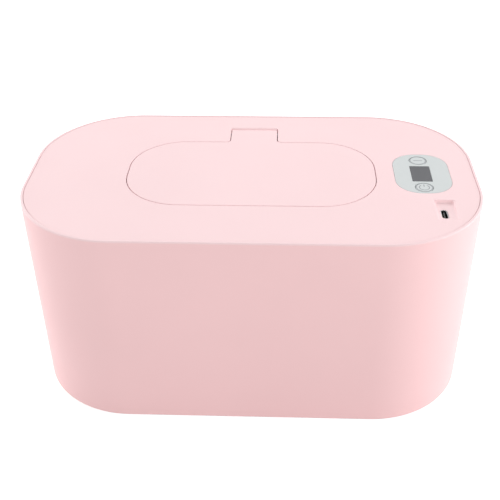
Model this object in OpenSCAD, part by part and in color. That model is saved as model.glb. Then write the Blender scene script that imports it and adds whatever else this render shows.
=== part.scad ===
// Baby wipe warmer: a tapered tub, a heated lift-off cover with a control panel, and a flip lid.
// Sizes are in millimetres. The origin is on the surface that it stands on, below the middle of the tub.
// +X points to the end with the control panel, -Y to the front and +Z up.

/* [Tub] */
// Length over the rim
body_l = 230; // [218:1:242]
// Width over the rim, front to back
body_w = 135.5; // [130:0.5:142]
// Height of the tub from its base to its rim
body_h = 110.4; // [100:0.1:120]
// Radius of the corners in plan, at the rim
corner_r = 52; // [49:0.5:55]
// How far each side leans in from the rim down to the base
lean_in = 2; // [1:0.1:3]
// Thickness of the lip that stands round the cover
lip_t = 1.5; // [1.2:0.1:1.8]
// Thickness of the wall below the lip
wall_t = 2.3; // [2.1:0.1:2.6]
// Thickness of the floor
floor_t = 2.4; // [2:0.1:3]
// Radius of the rounded outer edge of the rim
rim_round = 0.8; // [0.4:0.1:1]
// Radius of the rounded outer edge of the base
base_round = 1.8; // [1:0.1:2.2]

/* [Feet] */
// Radius of a foot
foot_r = 6; // [5.5:0.1:7]
// Depth of the pocket that holds a foot
foot_pocket = 1.4; // [1:0.1:1.6]
// How far a foot stands below the base
foot_proud = 0.6; // [0.4:0.1:1.5]
// Distance of a foot's centre from the tub's end
foot_from_end = 35; // [32:1:40]
// Distance of a foot's centre from the tub's front or back
foot_from_side = 29.75; // [28:0.25:32]

/* [Liner and insulation] */
// Thickness of the liner
liner_t = 1.2; // [1:0.1:1.4]
// Gap between the tub's wall and the liner
jacket_gap = 2.6; // [2.2:0.1:3]
// Height of the liner's underside above the tub's floor
liner_lift = 6; // [5.5:0.1:8]
// Radius of the liner's rounded inner edge at its floor
liner_round = 6; // [4:0.5:8]
// Clearance round each piece of foam
foam_gap = 0.3; // [0.2:0.05:0.5]

/* [Top cover] */
// Thickness of the cover's face
cover_t = 2.4; // [2.2:0.1:2.8]
// How far the cover's face lies below the rim
cover_drop = 0.2; // [0.1:0.05:0.5]
// Gap of the seam between the cover and the lip
seam = 0.3; // [0.2:0.05:0.4]
// Depth from the cover's face to the bottom of its skirt
cover_depth = 15.5; // [15.5:0.1:18]
// Thickness of the skirt
skirt_t = 1.5; // [1.3:0.1:1.7]
// Gap between the skirt and the liner
skirt_gap = 0.9; // [0.8:0.05:1.2]
// Thickness of the webs round the lid's well and the mouth
web = 1.6; // [1.3:0.1:1.8]
// Thickness of the base plate that closes the cover
base_t = 2; // [1.8:0.1:2.4]
// Gap between the seal's lip and the liner
seal_gap = 0.3; // [0.25:0.05:0.4]
// Height of the seal
seal_h = 2.2; // [1.8:0.1:2.6]

/* [Flip lid] */
// Length of the lid
lid_l = 127; // [120:0.5:131]
// Width of the lid, front to back
lid_w = 67.5; // [64:0.5:70]
// Radius of the lid's corners in plan
lid_r = 28.5; // [26:0.5:30]
// Thickness of the lid's skin
lid_t = 2; // [1.8:0.1:2.2]
// Gap of the seam round the lid
lid_gap = 0.4; // [0.3:0.05:0.5]
// Width of the hinge tongue
tongue_w = 25.3; // [23:0.1:28]
// Distance from the lid's rear edge to the hinge's axis
tongue_l = 13.75; // [13:0.25:15]
// Gap of the slit at each side of the tongue
slit = 0.45; // [0.4:0.05:0.6]
// Radius of the barrel at the tongue's end
barrel_r = 2.6; // [2.4:0.1:2.8]
// Radius of the hinge pin
pin_r = 1; // [0.8:0.1:1.2]
// Thickness of the lid's inner panel
inner_t = 1.2; // [1:0.1:1.3]
// Width of the ledge on which the lid lies
ledge_w = 5.5; // [5:0.1:6]
// Depth of the basin under the lid
basin_d = 4.8; // [4.6:0.1:5.2]

/* [Mouth] */
// Length of the mouth through the cover
mouth_l = 84; // [78:1:88]
// Width of the mouth through the cover
mouth_w = 36; // [32:0.5:37]
// Length of the slot in the silicone insert
slot_l = 58; // [54:1:60]
// Width of the slot in the silicone insert
slot_w = 12; // [10:0.5:13]
// Length of each of the slits that spread from the slot
petal_l = 7; // [5:0.5:8]
// Thickness of the insert's membrane and flange
membrane_t = 1; // [0.8:0.1:1.2]

/* [Control panel] */
// Distance of the panel's centre from the cover's end of the tub
panel_from_end = 27.65; // [26:0.05:29]
// Distance of the panel's centre behind the middle of the tub
panel_y = 0.6; // [-1:0.1:1]
// Size of the panel along the tub
panel_w = 28.3; // [26:0.1:30]
// Size of the panel from front to back
panel_l = 41; // [40.4:0.1:43]
// Radius of the panel's corners
panel_r = 12.3; // [10:0.1:13]
// Thickness of the panel
panel_t = 1.2; // [1:0.1:1.3]
// Size of the display along the tub
display_w = 10.1; // [9:0.1:11]
// Size of the display from front to back
display_l = 16.1; // [14.5:0.1:16.5]
// Distance of each key's centre from the display's centre
key_y = 14.2; // [14:0.1:14.4]
// Radius of a key
key_r = 4.4; // [4:0.1:4.5]
// Gap between a key and the panel
key_gap = 0.25; // [0.2:0.05:0.3]
// Travel of a key
key_travel = 0.4; // [0.3:0.05:0.5]

/* [Inlet] */
// Distance of the recess's centre from the tub's end
recess_from_end = 20.15; // [19.5:0.05:21]
// Distance of the recess's back edge from the front of the tub
recess_from_front = 41.45; // [40:0.05:42]
// Width of the recess
recess_w = 9.1; // [8.5:0.1:10]
// Length of the recess
recess_l = 19.6; // [18.5:0.1:20]
// Depth of the recess at its back edge
recess_d = 2; // [1.8:0.1:2.2]
// Depth of the recess at its front edge
recess_front_d = 0.7; // [0.5:0.1:1]
// Distance of the inlet's centre from the recess's middle, towards the lid
port_shift = 1.2; // [0.8:0.1:1.5]
// Distance of the inlet's centre from the recess's back edge
port_back = 11.5; // [10.5:0.1:12]
// Depth of the inlet's mouth below the cover's face
port_d = 1.6; // [1.5:0.1:1.7]
// Length of the inlet's shell
shell_l = 8.94; // [8.8:0.01:9]
// Width of the inlet's shell
shell_w = 3.26; // [3.2:0.01:3.3]
// Thickness of the inlet's shell
shell_t = 0.3; // [0.25:0.05:0.35]
// Height of the inlet above the board
port_h = 8; // [7.8:0.1:8.2]

/* [Board and heater] */
// Thickness of the board
board_t = 1.6; // [1.2:0.1:1.8]
// Distance from the tub's end to the board's inner edge
board_reach = 37.5; // [37:0.5:39]
// Thickness of the aluminium heater plate
heater_t = 1.2; // [1:0.1:1.5]
// Thickness of the heating film
film_t = 0.3; // [0.2:0.05:0.4]
// Thickness of the foam over the film
heater_foam_t = 3; // [2:0.1:3.2]

/* [Hidden] */
$fn = 96;

// Colours
shell_pink = [1, 0.85, 0.87];
liner_white = [0.97, 0.93, 0.92];
silicone_white = [0.93, 0.92, 0.9];
panel_grey = [0.83, 0.86, 0.85];
window_grey = [0.3, 0.3, 0.32];
foam_grey = [0.85, 0.86, 0.88];
metal = [0.78, 0.78, 0.8];
board_green = [0.1, 0.4, 0.25];
part_black = [0.08, 0.08, 0.09];
film_amber = [0.85, 0.5, 0.15];
wire_red = [0.75, 0.12, 0.1];

// Small clearances: between pieces that are fixed to each other, round a pressed pin, round a running shaft,
// round a piece in its pocket, and round a screw or its head
fixed_gap = 0.05;
press_gap = 0.02;
running_gap = 0.05;
pocket_gap = 0.1;
screw_gap = 0.2;
// How far a cutting shape reaches past the surface that it cuts
past = 1;
// How far a rounding circle is moved out, so that it crosses a leaning side and doesn't just touch it
round_lap = 0.01;

// The tub's plan: every level is the same rectangle of corner centres with its own corner radius
hx = body_l / 2 - corner_r;
hy = body_w / 2 - corner_r;
base_z = foot_proud;
rim_z = foot_proud + body_h;
cover_z = rim_z - cover_drop;
seat_z = cover_z - cover_t;
ledge_z = seat_z - liner_t;
floor_z = base_z + floor_t;
liner_z = floor_z + liner_lift;
liner_floor_z = liner_z + liner_t;

function lean(z) = lean_in * (rim_z - z) / body_h;
function outer_r(z) = corner_r - lean(z);
function wall_r(z) = outer_r(z) - wall_t;
function liner_r(z) = wall_r(z) - jacket_gap;
function inside_r(z) = liner_r(z) - liner_t;

cover_r = corner_r - lip_t - seam;
skirt_r = inside_r(rim_z) - skirt_gap;
skirt_in_r = skirt_r - skirt_t;

// Depths below the cover's face
well_d = lid_t + 0.2;
base_d = cover_depth - base_t;
board_d = port_d + port_h;
heater_rest = base_t / 2;
heater_d = cover_depth - heater_rest - heater_t;
film_d = heater_d - film_t;
collar_d = heater_d - 0.1;
seal_top_d = cover_t + 2;
boss_top_d = 6;
inner_d = lid_t + inner_t;

// Feet and the screws above them
foot_x = body_l / 2 - foot_from_end;
foot_y = body_w / 2 - foot_from_side;
pocket_z = base_z + foot_pocket;
liner_screw_r = 1.25;
head_r = 2.4;
head_h = 1.6;
head_room = 0.4;
screw_web = 1;
screw_boss_z = pocket_z + head_h + head_room + screw_web;
foot_boss_r = 5;
liner_boss_r = 3.5;
tip_gap = 0.3;

// Lid, well and hinge
hinge_y = lid_w / 2 + tongue_l;
hinge_z = cover_z - barrel_r;
notch_run = 7.3;
notch_front = hinge_y - barrel_r - notch_run;
notch_gap = 0.5;
notch_back = hinge_y + barrel_r + notch_gap;
notch_hw = tongue_w / 2 + slit;
notch_floor_gap = 0.4;
notch_d = 2 * barrel_r + notch_floor_gap;
lug_w = 5;
pin_l = 2 * (notch_hw + lug_w - 0.5);
chamfer = 0.8;
basin_l = lid_l - 2 * ledge_w;
basin_w = lid_w - 2 * ledge_w;
basin_r = lid_r - ledge_w;
inner_gap = 0.7;

// Mouth
flange_w = 3;
plug_t = 1.4;
plug_l = 3.7;
plug_d = basin_d + plug_l;
petal_pitch = 17.4;
petal_gap = 0.8;
plate_mouth_inset = 2;
seal_ring_w = 2;
seal_ring_l_gap = 8;
seal_ring_w_gap = 4;

// Control panel
panel_x = body_l / 2 - panel_from_end;
display_x = panel_x - 0.5;
window_ledge = 0.8;
module_gap = 0.2;
flange_gap = 0.3;
key_flange_t = 0.6;
key_flange = 0.8;
key_well_gap = 0.4;
stem_r = 1.6;
switch_w = 6;
switch_h = 3.5;
switch_floor = 0.5;
plunger_r = 1.7;
plunger_up = key_travel + 0.6;
plunger_in = 2;

// Inlet
recess_x = body_l / 2 - recess_from_end;
recess_y = recess_from_front - body_w / 2;
port_x = recess_x - port_shift;
port_y = recess_y - port_back;
recess_run = 0.8;
recess_floor_t = 1.2;
recess_ramp = atan((recess_d - recess_front_d) / recess_l);
contact_w = 6.65;
contact_t = 0.7;
contact_sunk = 0.6;
shell_floor = 1;
block_h = 1;

// Board and heater
board_x = body_l / 2 - board_reach;
board_r = skirt_in_r - 0.8;
board_front = port_y - shell_l / 2 - 2;
board_back = key_y + switch_w / 2 + 8;
heater_from_board = 3.5;
heater_from_skirt = 18.25;
heater_l = 2 * (board_x - heater_from_board);
heater_w = 2 * (hy + skirt_in_r - heater_from_skirt);
heater_r = 18;
heater_ledge = 3.5;
film_inset = 2;
board_screw_r = 0.95;
cover_screw_r = 1.25;
boss_r = 3.2;
board_boss_r = 2.5;
board_head_r = 2;
board_head_h = 1.2;
cover_bore_d = 1.2;
head_sunk = 0.1;
tip_room = 0.5;
corner_screw = [3, 32];
screw_from_skirt = 7.2;
cover_screw_at = [
    for (x = [-1, 1], y = [-1, 1]) [x * (hx + corner_screw[0]), y * (hy + corner_screw[1])],
    [0, -hy - skirt_in_r + screw_from_skirt], [-hx - skirt_in_r + screw_from_skirt, 0],
];
board_screw_in = [3.5, 3.2];
front_screw_from_recess = [3, 2.3];
side_screw_from_recess = 3.7;
rear_screw_from_panel = [9.7, 4.2];
board_screw_at = [
    [board_x + board_screw_in[0], recess_y - side_screw_from_recess], [recess_x, recess_y] + front_screw_from_recess,
    [board_x + board_screw_in[0], board_back - board_screw_in[1]],
    [panel_x + rear_screw_from_panel[0], board_back - rear_screw_from_panel[1]],
];
sensor_from_end = 15.5;
fuse_from_end = 18;
sensing_y = 14;
sensor_at = [heater_l / 2 - sensor_from_end, -sensing_y];
fuse_at = [heater_l / 2 - fuse_from_end, sensing_y];
sensor_r = 1.25;
sensor_l = 5;
fuse_r = 2;
fuse_l = 12;
lead_window = 4;
connector = [4.5, 10, 5];
connector_x = board_x + 0.5;
connector_y = -(display_l - window_ledge + connector[1]) / 2 - 0.4;
heater_wire_r = 0.6;
sensor_wire_r = 0.4;
lead_reach = 7;
lead_pitch = 2.4;
sensor_wire_pitch = 1.4;
film_tab = [8, 4];

// The tub's plan as a flat shape, with a given corner radius
module plan(r) {
    square([2 * hx, 2 * (hy + r)], center = true);
    square([2 * (hx + r), 2 * hy], center = true);
    for (x = [-hx, hx], y = [-hy, hy]) translate([x, y]) circle(r);
}

module round_rect(l, w, r) {
    square([l, w - 2 * r], center = true);
    square([l - 2 * r, w], center = true);
    for (x = [-1, 1], y = [-1, 1]) translate([x * (l / 2 - r), y * (w / 2 - r)]) circle(r);
}

module obround(l, w) {
    square([l - w, w], center = true);
    for (x = [-1, 1]) translate([x * (l - w) / 2, 0]) circle(w / 2);
}

// Extrudes a flat shape between two depths below the cover's face
module between(top, bottom) {
    translate([0, 0, cover_z - bottom]) linear_extrude(bottom - top) children();
}

// Carries a wall's section round the plan: quarter turns at the corners, straight runs between them
module swept() {
    for (q = [[1, 1, 0], [-1, 1, 90], [-1, -1, 180], [1, -1, 270]])
        translate([q[0] * hx, q[1] * hy, 0]) rotate(q[2]) rotate_extrude(angle = 90) children();
    for (turn = [0, 180]) {
        rotate(turn) translate([hx, hy, 0]) rotate([90, 0, 0]) linear_extrude(2 * hy) children();
        rotate(turn) translate([-hx, hy, 0]) rotate([90, 0, 90]) linear_extrude(2 * hx) children();
    }
}

// Cuts a section's outer corner back to a round, above the round's centre or below it
module cut_round(x, z, r, above) {
    translate([x, z]) mirror([0, above ? 0 : 1]) difference() {
        square(r + past);
        circle(r);
    }
}

module at_feet() {
    for (x = [-foot_x, foot_x], y = [-foot_y, foot_y]) translate([x, y, 0]) children();
}

module tub_section() {
    low = base_z + base_round;
    high = rim_z - rim_round;
    difference() {
        polygon([
            [0, base_z], [outer_r(base_z), base_z], [outer_r(rim_z), rim_z], [corner_r - lip_t, rim_z],
            [corner_r - lip_t, ledge_z], [wall_r(ledge_z), ledge_z], [wall_r(floor_z), floor_z], [0, floor_z],
        ]);
        cut_round(outer_r(low) - base_round + round_lap, low, base_round, false);
        cut_round(outer_r(high) - rim_round + round_lap, high, rim_round, true);
    }
}

module tub() {
    color(shell_pink) difference() {
        union() {
            swept() tub_section();
            translate([-hx, -hy, base_z]) cube([2 * hx, 2 * hy, floor_t]);
            at_feet() translate([0, 0, floor_z - screw_web])
                cylinder(h = screw_boss_z - floor_z + screw_web, r = foot_boss_r);
        }
        at_feet() {
            translate([0, 0, base_z - past]) cylinder(h = foot_pocket + past, r = foot_r + pocket_gap);
            translate([0, 0, base_z]) cylinder(h = screw_boss_z - screw_web - base_z, r = head_r + screw_gap);
            translate([0, 0, base_z]) cylinder(h = screw_boss_z, r = liner_screw_r + screw_gap);
        }
    }
}

module foot() {
    chamfer_h = 0.3;
    color(silicone_white) {
        cylinder(h = chamfer_h, r1 = foot_r - chamfer_h, r2 = foot_r);
        translate([0, 0, chamfer_h]) cylinder(h = pocket_z - chamfer_h, r = foot_r);
    }
}

module foot_front_left() {
    translate([-foot_x, -foot_y, 0]) foot();
}

module foot_front_right() {
    translate([foot_x, -foot_y, 0]) foot();
}

module foot_rear_left() {
    translate([-foot_x, foot_y, 0]) foot();
}

module foot_rear_right() {
    translate([foot_x, foot_y, 0]) foot();
}

module liner_section() {
    outer_round = liner_round + liner_t;
    round_z = liner_floor_z + liner_round;
    difference() {
        union() {
            difference() {
                polygon([[0, liner_z], [liner_r(liner_z), liner_z], [liner_r(seat_z), seat_z], [0, seat_z]]);
                cut_round(liner_r(round_z) - outer_round + round_lap, round_z, outer_round, false);
            }
            translate([0, ledge_z]) square([corner_r - lip_t - seam, liner_t]);
        }
        difference() {
            polygon([
                [-past, liner_floor_z], [inside_r(liner_floor_z), liner_floor_z],
                [inside_r(seat_z + past), seat_z + past], [-past, seat_z + past],
            ]);
            cut_round(inside_r(round_z) - liner_round + round_lap, round_z, liner_round, false);
        }
    }
}

module liner() {
    color(liner_white) difference() {
        union() {
            swept() liner_section();
            translate([-hx, -hy, liner_z]) cube([2 * hx, 2 * hy, liner_t]);
            at_feet() translate([0, 0, screw_boss_z])
                cylinder(h = liner_z - screw_boss_z + liner_t / 2, r = liner_boss_r);
        }
        at_feet() translate([0, 0, screw_boss_z - past])
            cylinder(h = liner_z - screw_boss_z + past - tip_gap, r = liner_screw_r + fixed_gap);
    }
}

// A screw that is driven in from below: its head starts at the origin and its shank goes up
module screw(head_r, head_h, shank_r, shank_l) {
    difference() {
        cylinder(h = head_h, r = head_r);
        translate([0, 0, -past]) cylinder(h = head_h / 2 + past, r = 0.42 * head_r, $fn = 6);
    }
    translate([0, 0, head_h]) cylinder(h = shank_l, r = shank_r);
}

module liner_screws() {
    color(metal) at_feet() translate([0, 0, screw_boss_z - screw_web - head_h])
        screw(head_r, head_h, liner_screw_r, liner_z - screw_boss_z + screw_web - 2 * tip_gap);
}

module insulation_sleeve() {
    low = floor_z + foam_gap;
    high = ledge_z - foam_gap;
    color(foam_grey) swept() polygon([
        [liner_r(low) + foam_gap, low], [wall_r(low) - foam_gap, low],
        [wall_r(high) - foam_gap, high], [liner_r(high) + foam_gap, high],
    ]);
}

module insulation_pad() {
    low = floor_z + foam_gap;
    high = liner_z - foam_gap;
    color(foam_grey) difference() {
        translate([0, 0, low]) linear_extrude(high - low) plan(liner_r(liner_z) - liner_round - liner_t);
        at_feet() translate([0, 0, low - past]) cylinder(h = high, r = foot_boss_r + foam_gap);
    }
}

// The recess round the inlet: its floor rises towards the front and its sides slope
module recess_cut() {
    slope = recess_run / recess_d;
    up = recess_d + past;
    translate([recess_x, recess_y, cover_z - recess_d]) rotate([90 - recess_ramp, 0, 0]) linear_extrude(recess_l)
        polygon([
            [-recess_w / 2 + recess_run, 0], [recess_w / 2 - recess_run, 0],
            [recess_w / 2 - recess_run + up * slope, up], [-recess_w / 2 + recess_run - up * slope, up],
        ]);
}

module hinge_box() {
    between(0, notch_d + web) translate([-notch_hw - lug_w, notch_front - web])
        square([2 * (notch_hw + lug_w), notch_back - notch_front + 2 * web]);
    between(0, well_d + web) translate([-notch_hw - web, lid_w / 2])
        square([2 * (notch_hw + web), notch_front - lid_w / 2]);
}

module hinge_cut() {
    between(-past, well_d) translate([-notch_hw, 0]) square([2 * notch_hw, notch_back]);
    between(-past, notch_d) translate([-notch_hw, notch_front]) square([2 * notch_hw, notch_back - notch_front]);
    translate([-notch_hw, notch_back, cover_z]) rotate([90, 0, 90]) linear_extrude(2 * notch_hw)
        polygon([[-past, -chamfer], [0, -chamfer], [chamfer, 0], [chamfer, past], [-past, past]]);
    translate([-pin_l / 2 - fixed_gap, hinge_y, hinge_z]) rotate([0, 90, 0])
        cylinder(h = pin_l + 2 * fixed_gap, r = pin_r + press_gap);
}

module at_screws(places) {
    for (p = places) translate(p) children();
}

module cover_solid() {
    between(0, cover_t) plan(cover_r);
    between(cover_t, cover_depth) difference() {
        plan(skirt_r);
        plan(skirt_in_r);
    }
    between(cover_t, well_d + web)
        round_rect(lid_l + 2 * (lid_gap + web), lid_w + 2 * (lid_gap + web), lid_r + lid_gap + web);
    between(cover_t, basin_d + web) round_rect(basin_l + 2 * web, basin_w + 2 * web, basin_r + web);
    between(cover_t, collar_d) obround(mouth_l + 2 * web, mouth_w + 2 * web);
    hinge_box();
    between(cover_t, recess_d + recess_floor_t) intersection() {
        plan(skirt_in_r + skirt_t / 2);
        translate([recess_x - recess_w / 2 - web, recess_y - recess_l - web])
            square([recess_w + 2 * web, recess_l + 2 * web]);
    }
    between(cover_t, base_d) at_screws(cover_screw_at) circle(boss_r);
    between(cover_t, board_d) at_screws(board_screw_at) circle(board_boss_r);
}

module top_cover() {
    color(shell_pink) difference() {
        cover_solid();
        between(-past, well_d) round_rect(lid_l + 2 * lid_gap, lid_w + 2 * lid_gap, lid_r + lid_gap);
        between(0, basin_d) round_rect(basin_l, basin_w, basin_r);
        between(0, cover_depth) obround(mouth_l, mouth_w);
        hinge_cut();
        recess_cut();
        between(0, board_d) translate([port_x, port_y]) rotate(90)
            obround(shell_l + 2 * pocket_gap, shell_w + 2 * pocket_gap);
        between(-past, panel_t) translate([panel_x, panel_y])
            round_rect(panel_w + 2 * pocket_gap, panel_l + 2 * pocket_gap, panel_r + pocket_gap);
        between(0, cover_t + past) translate([display_x, 0])
            square([display_w - 2 * window_ledge, display_l - 2 * window_ledge], center = true);
        between(0, cover_t + past) for (y = [-key_y, key_y]) translate([display_x, y])
            circle(key_r + key_flange + key_well_gap);
        between(boss_top_d, base_d + past) at_screws(cover_screw_at) circle(cover_screw_r + fixed_gap);
        between(boss_top_d, board_d + past) at_screws(board_screw_at) circle(board_screw_r + fixed_gap);
        between(seal_top_d, seal_top_d + seal_h + 2 * fixed_gap) difference() {
            plan(skirt_r + past);
            plan(skirt_r - skirt_t / 3);
        }
    }
}

module cover_seal() {
    lip_r = inside_r(cover_z - seal_top_d) - seal_gap;
    lip_h = seal_h / 3;
    top_d = seal_top_d + fixed_gap;
    color(silicone_white) {
        between(top_d, top_d + seal_h) difference() {
            plan(skirt_r);
            plan(skirt_r - skirt_t / 3 + fixed_gap);
        }
        for (d = [top_d, top_d + seal_h - lip_h]) between(d, d + lip_h) difference() {
            plan(lip_r);
            plan(skirt_r - fixed_gap);
        }
    }
}

module cover_base() {
    color(liner_white) difference() {
        between(base_d, cover_depth) plan(skirt_in_r - 0.2);
        between(base_d - past, cover_depth - heater_rest)
            round_rect(heater_l + 2 * pocket_gap, heater_w + 2 * pocket_gap, heater_r + pocket_gap);
        between(base_d, cover_depth + past)
            round_rect(heater_l - 2 * heater_ledge, heater_w - 2 * heater_ledge, heater_r - heater_ledge);
        between(base_d - past, cover_depth + past) at_screws(cover_screw_at) circle(cover_screw_r + screw_gap);
        between(cover_depth - cover_bore_d, cover_depth + past) at_screws(cover_screw_at)
            circle(head_r + screw_gap);
    }
}

module cover_screws() {
    color(metal) at_screws(cover_screw_at) translate([0, 0, cover_z - cover_depth + head_sunk])
        screw(head_r, cover_bore_d - head_sunk, cover_screw_r,
            cover_depth - cover_bore_d - boss_top_d - tip_room);
}

module mouth_insert() {
    color(silicone_white) difference() {
        union() {
            between(basin_d - membrane_t, basin_d) obround(mouth_l + 2 * flange_w, mouth_w + 2 * flange_w);
            between(basin_d, plug_d) obround(mouth_l - 2 * fixed_gap, mouth_w - 2 * fixed_gap);
        }
        between(basin_d, plug_d + past) obround(mouth_l - 2 * plug_t, mouth_w - 2 * plug_t);
        between(0, basin_d + past) obround(slot_l, slot_w);
        between(0, basin_d + past) for (x = [-1, 0, 1], y = [-1, 1]) translate([x * petal_pitch, y * slot_w / 2])
            square([petal_gap, 2 * petal_l], center = true);
    }
}

module heater_plate() {
    color(metal) between(heater_d, heater_d + heater_t) difference() {
        round_rect(heater_l, heater_w, heater_r);
        obround(mouth_l - 2 * plate_mouth_inset, mouth_w - 2 * plate_mouth_inset);
    }
}

module film_shape() {
    difference() {
        round_rect(heater_l - 2 * film_inset, heater_w - 2 * film_inset, heater_r - film_inset);
        obround(mouth_l + 2 * (web + 1), mouth_w + 2 * (web + 1));
    }
}

module heating_film() {
    color(film_amber) between(film_d, heater_d) film_shape();
}

module heater_foam() {
    color(foam_grey) between(film_d - heater_foam_t, film_d) difference() {
        film_shape();
        translate([fuse_at[0] - fuse_l, sensor_at[1] - lead_window])
            square([heater_l, fuse_at[1] - sensor_at[1] + 2 * lead_window]);
    }
}

// A round part that lies along X on the heating film
module on_film(at, r, l) {
    translate([at[0], at[1], on_film_z(r)]) rotate([0, 90, 0]) cylinder(h = l, r = r, center = true);
}

module temperature_sensor() {
    color(part_black) on_film(sensor_at, sensor_r, sensor_l);
}

module thermal_fuse() {
    color(liner_white) on_film(fuse_at, fuse_r, fuse_l);
}

function on_film_z(r) = cover_z - film_d + r + fixed_gap;
function blend(a, b, t) = (1 - t) * a + t * b;
function arch(a, b, c, t) = blend(blend(a, b, t), blend(b, c, t), t);
function along(p, t) = blend(arch(p[0], p[1], p[2], t), arch(p[1], p[2], p[3], t), t);
function heading(p, t) = arch(p[1], p[2], p[3], t) - arch(p[0], p[1], p[2], t);

// A wire that follows a Bezier curve through four points, in rings of eight points
module wire(p, r) {
    rings = 14;
    sides = 8;
    points = [for (i = [0:rings]) let (
        t = i / rings, h = heading(p, t), f = h / norm(h), s = cross([0, 0, 1], f), u = s / norm(s), v = cross(f, u)
    ) for (a = [0:sides - 1]) along(p, t) + r * (cos(a * 360 / sides) * u + sin(a * 360 / sides) * v)];
    walls = [for (i = [0:rings - 1], a = [0:sides - 1]) let (b = (a + 1) % sides)
        [i * sides + a, (i + 1) * sides + a, (i + 1) * sides + b, i * sides + b]];
    start = [for (a = [0:sides - 1]) a];
    end = [for (a = [sides - 1:-1:0]) rings * sides + a];
    polyhedron(points, concat(walls, [start, end]));
}

// A wire that leaves along +X and runs straight into the connector's inner face, at one of its four places
module lead(from, place, r) {
    to = [connector_x, connector_y + (1.5 - place) * lead_pitch, cover_z - board_d + connector[2] / 2];
    wire([from, from + [lead_reach, 0, 0], to - [lead_reach, 0, 0], to], r);
}

module heater_leads() {
    color(wire_red) {
        lead([fuse_at[0] + fuse_l / 2, fuse_at[1], on_film_z(fuse_r)], 0, heater_wire_r);
        lead([heater_l / 2 - film_tab[0], film_tab[1], on_film_z(heater_wire_r)], 1, heater_wire_r);
    }
}

module sensor_leads() {
    sensor_end = [sensor_at[0] + sensor_l / 2, sensor_at[1], on_film_z(sensor_r)];
    color(part_black) for (s = [-1, 1])
        lead(sensor_end + [0, s * sensor_wire_pitch / 2, 0], 2.5 - s / 2, sensor_wire_r);
}

module lead_connector() {
    color(liner_white) translate([connector_x, connector_y - connector[1] / 2, cover_z - board_d])
        cube(connector);
}

module control_board() {
    color(board_green) between(board_d, board_d + board_t) difference() {
        intersection() {
            plan(board_r);
            translate([board_x, board_front]) square([board_reach, board_back - board_front]);
        }
        at_screws(board_screw_at) circle(board_screw_r + screw_gap);
    }
}

module board_screws() {
    color(metal) at_screws(board_screw_at) translate([0, 0, cover_z - board_d - board_t - board_head_h])
        screw(board_head_r, board_head_h, board_screw_r, board_d + board_t - boss_top_d - tip_room);
}

module control_panel() {
    color(panel_grey) between(0, panel_t) difference() {
        translate([panel_x, panel_y]) round_rect(panel_w, panel_l, panel_r);
        translate([display_x, 0]) square([display_w + 2 * fixed_gap, display_l + 2 * fixed_gap], center = true);
        for (y = [-key_y, key_y]) translate([display_x, y]) circle(key_r + key_gap);
    }
}

module display_window() {
    color(window_grey) between(0, panel_t) translate([display_x, 0])
        square([display_w, display_l], center = true);
}

module display_module() {
    color(part_black) between(cover_t + module_gap, board_d) translate([display_x, 0])
        square([display_w - window_ledge, display_l - window_ledge], center = true);
}

module tact_switch() {
    color(part_black) difference() {
        between(board_d - switch_h, board_d) square(switch_w, center = true);
        between(board_d - switch_h - past, board_d - switch_floor) circle(plunger_r + running_gap);
    }
}

module power_switch() {
    translate([display_x, -key_y, 0]) tact_switch();
}

module mode_switch() {
    translate([display_x, key_y, 0]) tact_switch();
}

// A key: a cap flush with the panel, a flange that keeps it under the panel, and a stem down to the switch
module key() {
    flange_d = panel_t + flange_gap;
    color(panel_grey) {
        between(0, flange_d) circle(key_r);
        between(flange_d, flange_d + key_flange_t) circle(key_r + key_flange);
        between(flange_d + key_flange_t, board_d - switch_h - plunger_up) circle(stem_r);
    }
}

module plunger() {
    color(part_black) between(board_d - switch_h - plunger_up, board_d - switch_h + plunger_in) circle(plunger_r);
}

module power_key() {
    translate([display_x, -key_y, 0]) key();
}

module mode_key() {
    translate([display_x, key_y, 0]) key();
}

module power_plunger() {
    translate([display_x, -key_y, 0]) plunger();
}

module mode_plunger() {
    translate([display_x, key_y, 0]) plunger();
}

module usb_socket() {
    color(metal) translate([port_x, port_y, 0]) rotate(90) difference() {
        between(port_d, board_d) obround(shell_l, shell_w);
        between(port_d - past, board_d - shell_floor) obround(shell_l - 2 * shell_t, shell_w - 2 * shell_t);
    }
}

module usb_tongue() {
    block_d = board_d - shell_floor - block_h;
    color(part_black) translate([port_x, port_y, 0]) rotate(90) {
        between(block_d, board_d - shell_floor)
            obround(shell_l - 2 * (shell_t + fixed_gap), shell_w - 2 * (shell_t + fixed_gap));
        between(port_d + contact_sunk, block_d) square([contact_w, contact_t], center = true);
    }
}

module hinge_pin() {
    color(metal) translate([-pin_l / 2, hinge_y, hinge_z]) rotate([0, 90, 0]) cylinder(h = pin_l, r = pin_r);
}

module flip_lid() {
    color(shell_pink) difference() {
        union() {
            between(0, lid_t) round_rect(lid_l, lid_w, lid_r);
            between(0, lid_t) translate([-tongue_w / 2, 0]) square([tongue_w, hinge_y]);
            translate([-tongue_w / 2, hinge_y, hinge_z]) rotate([0, 90, 0]) cylinder(h = tongue_w, r = barrel_r);
        }
        translate([-tongue_w / 2 - past, hinge_y, hinge_z]) rotate([0, 90, 0])
            cylinder(h = tongue_w + 2 * past, r = pin_r + running_gap);
    }
}

module lid_inner_panel() {
    color(liner_white) between(lid_t, inner_d)
        round_rect(basin_l - 2 * inner_gap, basin_w - 2 * inner_gap, basin_r - inner_gap);
}

module lid_seal() {
    ring_l = mouth_l + 2 * flange_w + seal_ring_l_gap;
    ring_w = mouth_w + 2 * flange_w + seal_ring_w_gap;
    color(silicone_white) between(inner_d, basin_d - 0.2) difference() {
        obround(ring_l + 2 * seal_ring_w, ring_w + 2 * seal_ring_w);
        obround(ring_l, ring_w);
    }
}

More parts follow.
